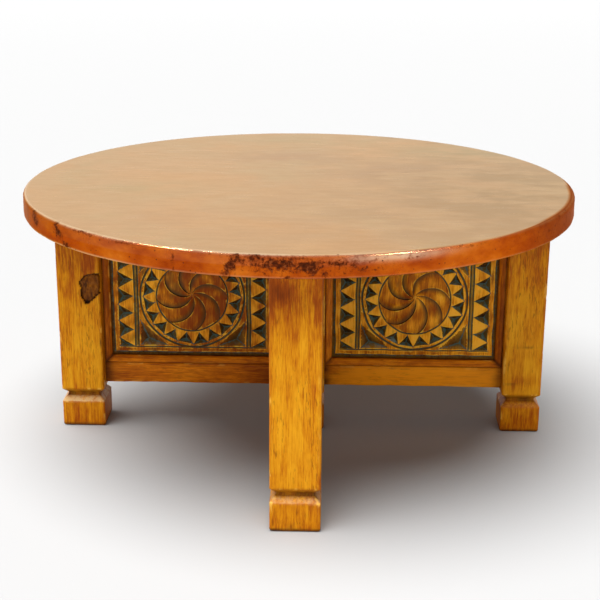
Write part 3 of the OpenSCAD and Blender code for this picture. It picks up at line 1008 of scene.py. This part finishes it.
def fill_points(low, high, made, rng):
    """A loose triangular grid over a rectangle, kept clear of the points already made."""
    rows = []
    for j, y in enumerate(np.arange(low[1] + 3, high[1] - 2, FILL_STEP * 0.87)):
        xs = np.arange(low[0] + 3 + (j % 2) * FILL_STEP / 2, high[0] - 2, FILL_STEP)
        rows.append(np.column_stack([xs, np.full(len(xs), y)]))
    fill = np.concatenate(rows)
    fill += rng.uniform(-0.7, 0.7, fill.shape)
    x, y = made.T
    gaps = [np.hypot(part[:, :1] - x, part[:, 1:] - y).min(1) for part in np.array_split(fill, 20)]
    return fill[np.concatenate(gaps) > FILL_CLEAR]


def carved_face(face, rng):
    """Points, triangles, point values and face values of one carved side, over the whole board."""
    carving = carve(rng)
    made = np.array(carving.points)
    count = len(made)
    everything = np.concatenate([made, face.corners(), fill_points(face.low, face.high, made, rng)])
    border = [(count + i, count + (i + 1) % 4) for i in range(4)]
    result = delaunay_2d_cdt([Vector(p) for p in everything], carving.edges + border, [], 0, 1e-4, True)
    flat, faces = np.array([tuple(p) for p in result[0]]), result[2]
    depth = carving.depth(flat)[0]
    edge, valley = np.zeros((2, len(flat)))
    for i, sources in enumerate(result[3]):
        kinds = {carving.kinds[s] for s in sources if s < count}
        if "valley" in kinds:
            valley[i] = 1.0
        elif "faint" in kinds:
            valley[i] = 0.55
        elif "edge" in kinds and depth[i] < 0.25:
            edge[i] = 1.0
    across, away = np.abs(flat[:, 0]), np.hypot(flat[:, 0], flat[:, 1])
    raised = np.maximum(across - FIELD_X, np.abs(flat[:, 1]) - FIELD_Y - 3)
    strip = smooth_step(raised, -0.5, 1.0) * (depth < 0.2)
    inside = smooth_step(np.minimum(flat - face.low, face.high - flat).min(1), 0.5, 12.0)
    warp = np.column_stack([ripple(flat, 60.0, rng), ripple(flat, 60.0, rng)]) * 0.55 * inside[:, None]
    warp[:, 1] += HUB_RISE * np.clip(1 - away / INNER, 0, 1)
    worn = inside * (0.18 + 0.16 * ripple(flat, 34.0, rng)) * (depth < 4)
    surface = -(depth + np.maximum(worn, 0))
    rays = (away > INNER) & (away < RAY_RING)
    teeth = (across > LINE_X[0]) & (raised < 0)
    wash = (across > LINE_X[1]) & (across < LINE_X[0]) & (np.abs(flat[:, 1]) < FIELD_Y)
    tone = 0.045 * ripple(flat, 30.0, rng) - 0.04 * smooth_step(-away, -INNER - 1, -INNER + 1)
    tone = tone + strip * np.where(across > FIELD_X, 0.01, -0.03) + 0.085 * (rays | teeth)
    start = [rng.uniform(0.1, 0.3), rng.uniform(0.03, 0.08), rng.uniform(0, 3)]
    values = {
        "grain": np.column_stack([flat[:, 0], surface, flat[:, 1]]) * MM + start,
        "edge": np.maximum(np.maximum(edge, strip * 0.3), bump_at(away, 2.2)),
        "valley": valley,
        # half of the arm's painted light and shade
        "tone": tone + 0.012 + ARM_PAINTED_LIGHT[face.arm.name] * 0.5,
        "depth": depth,
        "wash": wash * 0.75,
    }
    deep, paint, shade = carving.depth(flat[np.array(faces)].mean(1))
    face_values = {"cut": paint * (deep > 0.22), "shade": shade}
    return np.column_stack([flat + warp, surface]) * MM, faces, values, face_values


def joined(layers):
    return {key: np.concatenate([layer[key] for layer in layers]) for key in layers[0]}


def build_panel(arm, sides):
    """A board carved on both faces, closed round its edges."""
    name = "carved_board_" + arm.name
    all_points, all_faces, ends, point_layers, face_layers = [], [], [], [], []
    offset = 0
    for face in sides:
        points, faces, values, face_values = carved_face(face, rng_for(name + str(face.turned)))
        flat = points[:, :2] / MM
        ends.append([int(np.linalg.norm(flat - c, axis=1).argmin()) + offset for c in face.corners()])
        all_points.append(face.world(points))
        all_faces += [tuple(i + offset for i in f) for f in faces]
        point_layers.append(values)
        face_layers.append(face_values)
        offset += len(points)
    front, back = ends[0], [ends[1][i] for i in (1, 0, 3, 2)]
    all_faces += [(front[(i + 1) % 4], front[i], back[i], back[(i + 1) % 4]) for i in range(4)]
    face_layers.append({"cut": np.zeros(4), "shade": np.zeros(4)})
    points, values, face_values = np.concatenate(all_points), joined(point_layers), joined(face_layers)
    nodes = ["panel_" + arm.name]
    add_piece(name, points, all_faces, panel_wood, nodes, values, face_values, sharp=14)


for arm in arms:
    sides = [Face(arm, False), Face(arm, True)]
    build_panel(arm, sides)
    for face, looks_to in zip(sides, PANEL_SIDES[arm.index]):
        for edge in EDGES:
            build_moulding(face, edge, f"moulding_{arm.name}_{looks_to}_{edge}")


# ---- copper top

EDGE_ROUND = 7 * MM
LIP_ROUND = 3 * MM
FLANGE = 22 * MM
SHEET = 1.2 * MM
HUB = 6 * MM                        # half width of the flat facet in the middle of the mesh
SEGMENTS = 400
TOP_RINGS, SIDE_RINGS = 84, 12
# Fire scale on the edge: degrees round from the front, height up the edge as a share of it, half
# width in degrees, half height, slant in degrees and strength.
SCALE_SPOTS = [
    (-61, 0.62, 2.3, 0.45, -1.5, 1.0),
    (-50, 0.60, 1.5, 0.42, -2.0, 1.15),
    (-47, 0.12, 1.6, 0.22, -2.0, 0.95),
    (-42, 0.92, 5.0, 0.12, 0.0, 0.65),
    (-30, 0.88, 4.5, 0.14, 0.0, 0.55),
    (-20.7, 0.5, 0.35, 0.45, 0.0, 0.7),
    (-10, 0.50, 1.0, 0.62, 2.4, 1.35),
    (-5.8, 0.80, 3.2, 0.22, 0.0, 1.05),
    (-2.0, 0.60, 3.4, 0.30, -2.0, 1.10),
    (-2.0, 0.62, 8.0, 0.42, 0.0, 0.92),
    (3.2, 0.48, 2.6, 0.36, -3.0, 1.2),
    (0, 0.06, 1.6, 0.10, 0.0, 0.8),
    (6.0, 0.25, 2.0, 0.26, 0.0, 0.75),
    (9.0, 0.62, 5.5, 0.24, -3.0, 0.80),
    (11.0, 0.60, 10.0, 0.44, 0.0, 0.50),
    # a wide faint spot at this end of the edge: painted shade
    (-72, 0.60, 9.0, 0.60, 0.0, 0.45),
    (12.8, 0.42, 1.4, 0.32, 0.0, 0.62),
    (22, 0.72, 3.0, 0.16, 0.0, 0.45),
    (34, 0.85, 5.0, 0.12, 0.0, 0.4),
    (67, 0.70, 2.4, 0.25, 0.0, 0.6),
    # a wide faint spot at this end of the edge: painted shade
    (64, 0.50, 19.0, 1.00, 0.0, 0.42),
    (98, 0.55, 3.0, 0.50, 3.0, 1.0),
    (131, 0.70, 5.0, 0.30, -4.0, 0.95),
    (154, 0.30, 2.0, 0.40, 0.0, 0.9),
    (178, 0.60, 4.0, 0.40, 5.0, 1.0),
    (-101, 0.40, 3.0, 0.50, 2.0, 0.9),
    (-133, 0.75, 6.0, 0.20, 0.0, 0.8),
    (-157, 0.50, 1.6, 0.60, -3.0, 1.0),
]
# Faint patches on the flat of the top: place and half sizes in metres, and strength.
TOP_PATCHES = {
    "green": [
        (0.37, 0.33, 0.17, 0.10, 0.85),
        (0.02, 0.45, 0.24, 0.07, 0.55),
        (-0.29, -0.08, 0.14, 0.08, 0.45),
        (-0.44, 0.02, 0.05, 0.22, 0.35),
        (0.0, 0.40, 0.60, 0.24, 0.28),
    ],
    "rose": [
        (0.04, -0.45, 0.55, 0.22, 0.30),
        (0.30, -0.30, 0.36, 0.28, 0.55),
        (0.22, 0.08, 0.17, 0.13, 0.75),
        (-0.02, 0.23, 0.13, 0.08, 0.70),
        (-0.18, -0.30, 0.15, 0.08, 0.35),
    ],
    "brown": [
        (0.21, 0.49, 0.03, 0.02, 0.80),
        # the wide patch on the right half is painted shade that darkens that side of the top
        (0.42, -0.06, 0.30, 0.42, 0.85),
        (0.48, 0.12, 0.06, 0.25, 0.40),
        (0.30, 0.42, 0.03, 0.015, 0.60),
    ],
}


def copper_profile(radius, top, under):
    """Radius and height along the sheet's outer face, out from the middle, and back along its inner face."""
    outer = [(r, top) for r in np.linspace(HUB, radius - EDGE_ROUND - 1 * MM, TOP_RINGS)]
    outer += [(radius - inset, top - drop) for inset, drop in quarter_round(EDGE_ROUND, 8)]
    upright = np.linspace(top - EDGE_ROUND - 2.5 * MM, under + LIP_ROUND + 1.5 * MM, SIDE_RINGS)
    outer += [(radius, z) for z in upright]
    outer += [(radius - inset, under + rise) for rise, inset in quarter_round(LIP_ROUND, 8)[1:]]
    outer += [(radius - part * FLANGE, under) for part in (0.35, 0.6, 0.85, 1.0)]
    inner = [
        (radius - FLANGE, under + SHEET),
        (radius - LIP_ROUND, under + SHEET),
        (radius - SHEET, under + LIP_ROUND),
        (radius - SHEET, top - EDGE_ROUND),
        (radius - EDGE_ROUND, top - SHEET),
        (radius * 0.5, top - SHEET),
        (HUB, top - SHEET),
    ]
    return outer, inner


def copper_values(points, radius, top, under):
    """What the material reads: the edge with its wear and stains, painted highlights and painted shade, and
    the patches on the flat.
    """
    azimuth = np.degrees(np.arctan2(points[:, 0], -points[:, 1]))
    height = (points[:, 2] - under) / (top - under)
    reach = np.hypot(points[:, 0], points[:, 1])
    scale = np.zeros(len(points))
    for place, level, width, tall, slant, strength in SCALE_SPOTS:
        up = height - level
        away = (azimuth - place - slant * up + 180) % 360 - 180
        scale = np.maximum(scale, strength * bump_at(np.hypot(away / width, up / tall), 1.0))
    creep = 6 * MM * smooth_step(azimuth, 38, 62) * smooth_step(-azimuth, -104, -84)
    rim = smooth_step(reach + creep, radius - EDGE_ROUND * 0.62, radius - EDGE_ROUND * 0.22)
    rim = np.maximum(rim, height < 0.5)
    lip = bump_at(points[:, 2] - under - 1.2 * MM, 1.8 * MM) * (1 - 0.7 * smooth_step(azimuth, -38, -12))
    # the shoulder line and the rubbed patch where the right glint falls are painted highlights on polished
    # copper; the line fades out on the right
    shoulder = bump_at(reach - radius + EDGE_ROUND * 0.55, EDGE_ROUND * 0.3) * (height > 0.5)
    rubbed = oval(np.column_stack([azimuth, height]), (19, 0.80), (8, 0.16)) * (reach > radius - EDGE_ROUND)
    # painted shade with tarnish: the edge darkens and dulls towards both sides, more on the right
    tarnish = smooth_step(np.abs(azimuth), 40, 60) * smooth_step(-np.abs(azimuth), -130, -95)
    values = {
        "rim": rim,
        "scale": scale * smooth_step(reach, radius - EDGE_ROUND * 1.4, radius - EDGE_ROUND * 0.5),
        "lip": lip * rim,
        "polish": np.maximum(shoulder * (1 - 0.85 * smooth_step(azimuth, 10, 30)), rubbed),
        "tarnish": rim * tarnish * np.where(azimuth > 0, 0.75, 0.35),
    }
    for kind, patches in TOP_PATCHES.items():
        spots = [strength * oval(points[:, :2], (x, y), size) for x, y, *size, strength in patches]
        values[kind] = np.max(spots, 0)
    return values


def build_copper():
    """The sheet over the top, dressed down the edge and turned under, as one closed skin."""
    low, high = box("copper_sheet")
    rng = rng_for("copper")
    radius, top, under = min(high[0], high[1]), high[2], low[2]
    outer, inner = copper_profile(radius, top, under)
    turns = np.linspace(0, TURN, SEGMENTS, endpoint=False)
    circle = np.column_stack([np.cos(turns), np.sin(turns), np.ones(SEGMENTS)])
    points, faces = loft([circle * (r, r, z) for r, z in (outer + inner)[::-1]])
    values = copper_values(points, radius, top, under)
    skin = np.repeat([0] * len(inner) + [1] * len(outer), SEGMENTS)
    reach = np.hypot(points[:, 0], points[:, 1])
    side = smooth_step(reach, radius - EDGE_ROUND * 1.1, radius - EDGE_ROUND * 0.25)
    outward = points * (1, 1, 0) / reach[:, None]
    sag = (0.20 + 0.13 * ripple(points, 190 * MM, rng) + 0.07 * ripple(points, 45 * MM, rng)) * MM
    dent = (0.42 + 0.24 * ripple(points, 70 * MM, rng) + 0.15 * ripple(points, 22 * MM, rng)) * MM
    upper = skin * (points[:, 2] > under + 20 * MM)
    points = points - UP * (np.maximum(sag, 0) * (1 - side) * upper)[:, None]
    points = points - outward * (np.maximum(dent, 0) * side * skin)[:, None]
    add_piece("copper_skin", points, faces, copper, ["copper_sheet"], values, sharp=50)


build_copper()


# ---- fixings and core

def dress(node, material):
    """Gives a CAD node that keeps its shape its material."""
    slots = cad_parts[node].data.materials
    slots.clear()
    slots.append(material)


for node in ("core_disc_upper", "core_disc_lower"):
    dress(node, core_wood)
for arm in arms:
    dress("cleat_" + arm.name, cleat_wood)
for node in ("cleat_top_screws", "cleat_rail_screws", "moulding_pins"):
    dress(node, steel)
dress("flange_tacks", tack_metal)


# ---- floor, light and camera

def add_floor():
    size = 40.0
    mesh = bpy.data.meshes.new("floor")
    corners = [(-size, -size, 0), (size, -size, 0), (size, size, 0), (-size, size, 0)]
    mesh.from_pydata(corners, [], [(0, 1, 2, 3)])
    mesh.materials.append(Shader("floor").finish(Base_Color=(0.42, 0.42, 0.42), Roughness=0.9))
    floor = new_object("floor", mesh)


def add_light(name, kind, place, target, glossy=False, **settings):
    """A glossy light is only seen in reflections, any other light never is."""
    data = bpy.data.lights.new(name, kind)
    for key, value in settings.items():
        setattr(data, key, value)
    light = new_object(name, data)
    light.location = place
    light.rotation_euler = (Vector(target) - Vector(place)).to_track_quat("-Z", "Y").to_euler()
    light.visible_camera = False
    light.visible_glossy = glossy
    light.visible_diffuse = not glossy


def add_panel(name, place, target, wide, tall, radiance, glossy=False, spread=math.pi, fill=1.0):
    """A softbox. fill is what a narrow spread leaves of its power."""
    watts = radiance * math.pi * wide * tall * fill
    size = {"shape": "RECTANGLE", "size": wide, "size_y": tall}
    add_light(name, "AREA", place, target, glossy, energy=watts, spread=spread, **size)


def add_world(strength):
    """An even sky that is only seen in reflections."""
    world = bpy.data.worlds.new("studio")
    world.use_nodes = True
    sky = world.node_tree.nodes["Background"].inputs
    sky["Color"].default_value = (1, 1, 1, 1)
    sky["Strength"].default_value = strength
    world.cycles_visibility.diffuse = False
    bpy.context.scene.world = world


def add_camera():
    """Stands a little to the right of the front leg's axis and looks down on the table."""
    pitch, yaw, roll = 0.3073, -0.0274, 0.006
    forward = Vector((math.sin(yaw) * math.cos(pitch), math.cos(yaw) * math.cos(pitch), -math.sin(pitch)))
    level = Vector((math.cos(yaw), -math.sin(yaw), 0))
    right = level * math.cos(roll) + level.cross(forward) * math.sin(roll)
    upward = right.cross(forward)
    data = bpy.data.cameras.new("camera")
    data.lens = 78.94
    data.sensor_width = 36
    camera = new_object("camera", data)
    turn = Matrix((right, upward, -forward)).transposed().to_4x4()
    camera.matrix_world = Matrix.Translation((0.0727, -2.5375, 1.0697)) @ turn
    bpy.context.scene.camera = camera


# Which side each wide softbox stands on, the heights of its edges and how bright it is.
SOFTBOXES = [
    ("right", 0.1, 9.0, 0.30),
    ("back", 0.1, 9.0, 0.60),
    ("left", 0.1, 9.0, 0.40),
    ("front", 0.7, 5.5, 2.1),
]


def add_softboxes(distance=14.0, width=24.0):
    for side, low, high, radiance in SOFTBOXES:
        turn = ARMS.index(side) * math.pi / 2
        middle = (low + high) / 2
        place = (*polar(distance, turn), middle)
        add_panel("softbox_" + side, place, (0, 0, middle), width, high - low, radiance)


def glow(name, edge, direction, wide, tall, radiance):
    """A small softbox with a narrow beam that puts a glint on one part of the table's edge."""
    distance, half_beam = 3.2, math.radians(4.5)
    place = Vector(edge) + Vector(direction).normalized() * distance
    add_panel(name, place, edge, wide, tall, radiance, True, 2 * half_beam, half_beam**2 / 3)


add_floor()
add_world(0.92)
add_softboxes()
add_light("key", "SUN", (-0.19, -0.13, 0.97), (0, 0, 0), energy=7.0, angle=math.radians(56))
glow("glint_left", (-0.22, -0.49, 0.5), (-0.535, -0.085, 0.84), 0.46, 0.20, 200.0)
glow("glint_right", (0.18, -0.50, 0.5), (0.60, -0.55, 0.58), 0.60, 0.22, 120.0)
add_camera()
bpy.context.scene.view_settings.view_transform = "Standard"
